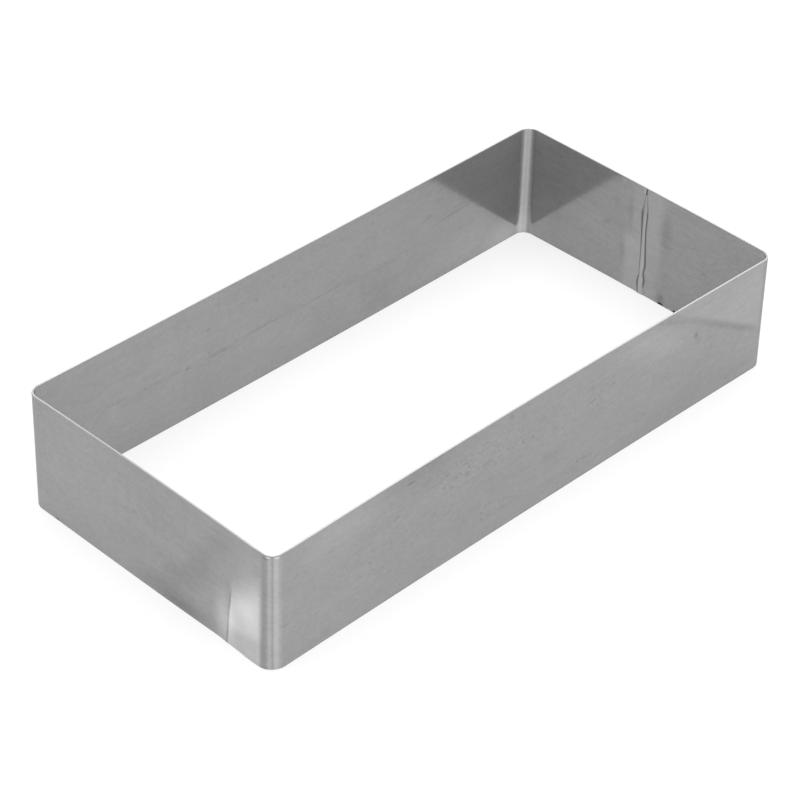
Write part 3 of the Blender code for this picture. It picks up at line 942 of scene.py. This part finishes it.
    # The rolled face is half mirror and half dull grey, and keeps its grey at grazing angles too.
    shader.inputs["Metallic"].default_value = 0.5
    shader.inputs["Roughness"].default_value = 0.12
    shader.inputs["Specular Tint"].default_value = linear("#BCBCBC")
    return material


def sheared_edge(finish):
    """The sheared and deburred edges of the sheet: brighter and a little rougher than its faces."""
    material, tree, shader = new_metal("sheared_stainless_edge")
    place = add_node(tree, "ShaderNodeAttribute", attribute_name="place").outputs["Vector"]
    nicks = add_node(tree, "ShaderNodeTexNoise", {"Vector": place, "Scale": NICKS_A_MM, "Detail": 2.0})
    tone = add_node(tree, "ShaderNodeMapRange", [nicks, *NOISE_RANGE, *NICK_TONES])
    ring = bpy.context.scene.ring_sizes
    bend_middle = -(ring.length / 2 - ring.bend) / MM - bend_run() / 2
    # Painted shade on the rim over the front left bend and along the left wall.
    tone = add_spot(tree, place, ("front", bend_middle, ring.height / MM, *BEND_RIM_SHADE), tone)
    tone = add_spot(tree, place, ("left", 0.0, ring.height / MM, *LEFT_RIM_SHADE), tone)
    value = add_node(tree, "ShaderNodeVectorMath", {0: finish.edge[:3], 3: tone}, operation="SCALE")
    tree.links.new(value.outputs[0], shader.inputs["Base Color"])
    shader.inputs["Roughness"].default_value = 0.35
    return material


def scorched_end(finish):
    """The strip's two ends in the slit, blackened by the heat of the weld."""
    material, tree, shader = new_metal("heat_scorched_stainless")
    place = add_node(tree, "ShaderNodeAttribute", attribute_name="place").outputs["Vector"]
    soot = add_node(tree, "ShaderNodeTexNoise", {"Vector": place, "Scale": SOOT_A_MM, "Detail": 2.0})
    tone = add_node(tree, "ShaderNodeMapRange", [soot, *NOISE_RANGE, *SOOT_TONES])
    value = add_node(tree, "ShaderNodeVectorMath", {0: finish.scorch[:3], 3: tone}, operation="SCALE")
    rise = add_node(tree, "ShaderNodeSeparateXYZ", [place])
    clean = add_node(tree, "ShaderNodeMapRange", [rise.outputs[1], *SCORCH_END])
    value = add_node(tree, "ShaderNodeMix", {0: clean, 4: value, 5: finish.edge[:3]}, data_type="VECTOR")
    tree.links.new(value.outputs[1], shader.inputs["Base Color"])
    shader.inputs["Roughness"].default_value = 0.5
    return material


def weld_metal(finish):
    """The bare bead of a TIG weld: bright on the dome, with painted shade along the toes where it met the
    sheet.
    """
    material, tree, shader = new_metal("tig_weld_bead")
    bead = add_node(tree, "ShaderNodeAttribute", attribute_name="bead").outputs["Vector"]
    across = add_node(tree, "ShaderNodeSeparateXYZ", [bead])
    off = add_node(tree, "ShaderNodeMath", [across.outputs[0]], operation="ABSOLUTE")
    left_shade = set_curve(add_node(tree, "ShaderNodeFloatCurve", {1: off}), LEFT_TOE_SHADE)
    right_shade = set_curve(add_node(tree, "ShaderNodeFloatCurve", {1: off}), RIGHT_TOE_SHADE)
    foot = soft_step(tree, across.outputs[1], *RIGHT_TOE_SHADE_FOOT)
    right_shade = add_node(tree, "ShaderNodeMath", [right_shade, foot], operation="MULTIPLY")
    left = add_node(tree, "ShaderNodeMath", [across.outputs[0], 0.0], operation="GREATER_THAN")
    toe = add_node(tree, "ShaderNodeMix", {0: left, 2: right_shade, 3: left_shade})
    dark = add_node(tree, "ShaderNodeMath", [toe, across.outputs[2]], operation="MULTIPLY")
    start = soft_step(tree, across.outputs[1], *TOE_SHADE_START, FAINT_START)
    dark = add_node(tree, "ShaderNodeMath", [dark, start], operation="MULTIPLY")
    tone = add_node(tree, "ShaderNodeMapRange", {0: dark, 3: 1.0, 4: TOE_SHADE_TONE})
    value = add_node(tree, "ShaderNodeVectorMath", {0: finish.weld[:3], 3: tone}, operation="SCALE")
    tree.links.new(value.outputs[0], shader.inputs["Base Color"])
    shader.inputs["Roughness"].default_value = 0.3
    return material


class RING_OT_strip(bpy.types.Operator):
    """Sweeps the sheet's section round the bends and gives it its rolled and sheared faces"""

    bl_idname = "mousse_ring.strip"
    bl_label = "Bent strip"

    def execute(self, context):
        ring = context.scene.ring_sizes
        finish = context.scene.ring_finish
        sizes = {
            "Length": ring.length,
            "Width": ring.width,
            "Height": ring.height,
            "Sheet": ring.sheet,
            "Bend radius": ring.bend,
            "Slit": ring.slit,
            "Edge rounding": ring.edge,
            "Step": ring.step,
            "Drawn edge": ring.drawn,
            "Unevenness": ring.unevenness,
        }
        tree = strip_tree(rolled_sheet(finish), sheared_edge(finish), scorched_end(finish), sizes)
        strip = grow("mould_strip", tree, sizes)
        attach(strip, "root")
        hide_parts("bent_strip")
        return {"FINISHED"}


class RING_OT_weld(bpy.types.Operator):
    """Runs the weld bead down the seam"""

    bl_idname = "mousse_ring.weld"
    bl_label = "Seam weld"

    def execute(self, context):
        ring = context.scene.ring_sizes
        sizes = {
            "Length": ring.length,
            "Sheet": ring.sheet,
            "Bead top": ring.bead_top,
            "Bead height": ring.bead_proud,
            "Ripple pitch": ring.ripple,
            "Ripple depth": ring.ripple_depth,
        }
        bead = grow("weld_bead", weld_tree(weld_metal(context.scene.ring_finish), sizes), sizes, weigh=False)
        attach(bead, "root")
        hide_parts("seam_weld")
        return {"FINISHED"}


class RING_OT_stage(bpy.types.Operator):
    """Lays the pale table, hangs the softbox and sets the camera"""

    bl_idname = "mousse_ring.stage"
    bl_label = "Stage"

    def execute(self, context):
        scene = context.scene
        stage = scene.ring_stage
        bpy.ops.mesh.primitive_plane_add(size=FLOOR_SIDE, location=(0, 0, -FLOOR_DROP))
        floor = context.active_object
        floor.name = "table"
        floor.data.materials.append(table_paint(stage))

        lamp = bpy.data.lights.new("softbox", "AREA")
        lamp.shape = "SQUARE"
        lamp.size = stage.lamp_size
        lamp.energy = stage.lamp
        softbox = bpy.data.objects.new("softbox", lamp)
        softbox.location = (0.0, 0.0, stage.lamp_height)
        scene.collection.objects.link(softbox)

        world = bpy.data.worlds.new("studio")
        scene.world = world
        world.use_nodes = True
        tree = world.node_tree
        strength = add_node(tree, "ShaderNodeMapRange", {0: seen_rays(tree), 3: stage.fill, 4: 1.0})
        background = tree.nodes["Background"]
        background.inputs["Color"].default_value = WHITE
        tree.links.new(strength.outputs[0], background.inputs["Strength"])

        view = bpy.data.cameras.new("camera")
        view.lens = CAMERA_LENS
        view.sensor_width = CAMERA_SENSOR
        camera = bpy.data.objects.new("camera", view)
        camera.location = CAMERA_PLACE
        camera.rotation_euler = Euler([math.radians(angle) for angle in CAMERA_TURN])
        scene.collection.objects.link(camera)
        scene.camera = camera
        scene.view_settings.view_transform = "Standard"
        return {"FINISHED"}


def seen_rays(tree):
    """1 for a ray that shows the stage, from the camera or off metal or through glass, and 0 for light."""
    path = add_node(tree, "ShaderNodeLightPath")
    seen = path.outputs["Is Camera Ray"]
    for kind in ("Is Glossy Ray", "Is Transmission Ray"):
        seen = add_node(tree, "ShaderNodeMath", [seen, path.outputs[kind]], operation="MAXIMUM")
    return seen


def table_paint(stage):
    """Matt white table: its own shade keeps the ring's shadow, and its glow brings it up to white."""
    material = bpy.data.materials.new("matt_white_table")
    material.use_nodes = True
    tree = material.node_tree
    shader = tree.nodes["Principled BSDF"]
    shader.inputs["Base Color"].default_value = stage.floor
    shader.inputs["Roughness"].default_value = 1.0
    shader.inputs["Specular IOR Level"].default_value = 0.0
    glow = add_node(tree, "ShaderNodeMath", [seen_rays(tree), GLOW], operation="MULTIPLY")
    shader.inputs["Emission Color"].default_value = WHITE
    tree.links.new(glow.outputs[0], shader.inputs["Emission Strength"])
    return material


class RING_PT_panel(bpy.types.Panel):
    """The ring's sizes, finishes and steps"""

    bl_idname = "RING_PT_panel"
    bl_label = "Mousse Ring"
    bl_space_type = "VIEW_3D"
    bl_region_type = "UI"
    bl_category = "Mousse Ring"

    def draw(self, context):
        for group in (context.scene.ring_sizes, context.scene.ring_finish, context.scene.ring_stage):
            box = self.layout.box()
            for key in group.__annotations__:
                box.prop(group, key)
        for step in STEPS:
            self.layout.operator(step.bl_idname)


STEPS = (RING_OT_strip, RING_OT_weld, RING_OT_stage)
GROUPS = {"ring_sizes": RingSizes, "ring_finish": RingFinish, "ring_stage": RingStage}


def register():
    for group in GROUPS.values():
        bpy.utils.register_class(group)
    for name, group in GROUPS.items():
        setattr(bpy.types.Scene, name, bpy.props.PointerProperty(type=group))
    for step in STEPS:
        bpy.utils.register_class(step)
    bpy.utils.register_class(RING_PT_panel)


def unregister():
    bpy.utils.unregister_class(RING_PT_panel)
    for step in reversed(STEPS):
        bpy.utils.unregister_class(step)
    for name, group in GROUPS.items():
        delattr(bpy.types.Scene, name)
        bpy.utils.unregister_class(group)


def main():
    register()
    bpy.ops.mousse_ring.strip()
    bpy.ops.mousse_ring.weld()
    bpy.ops.mousse_ring.stage()


if __name__ == "__main__":
    main()
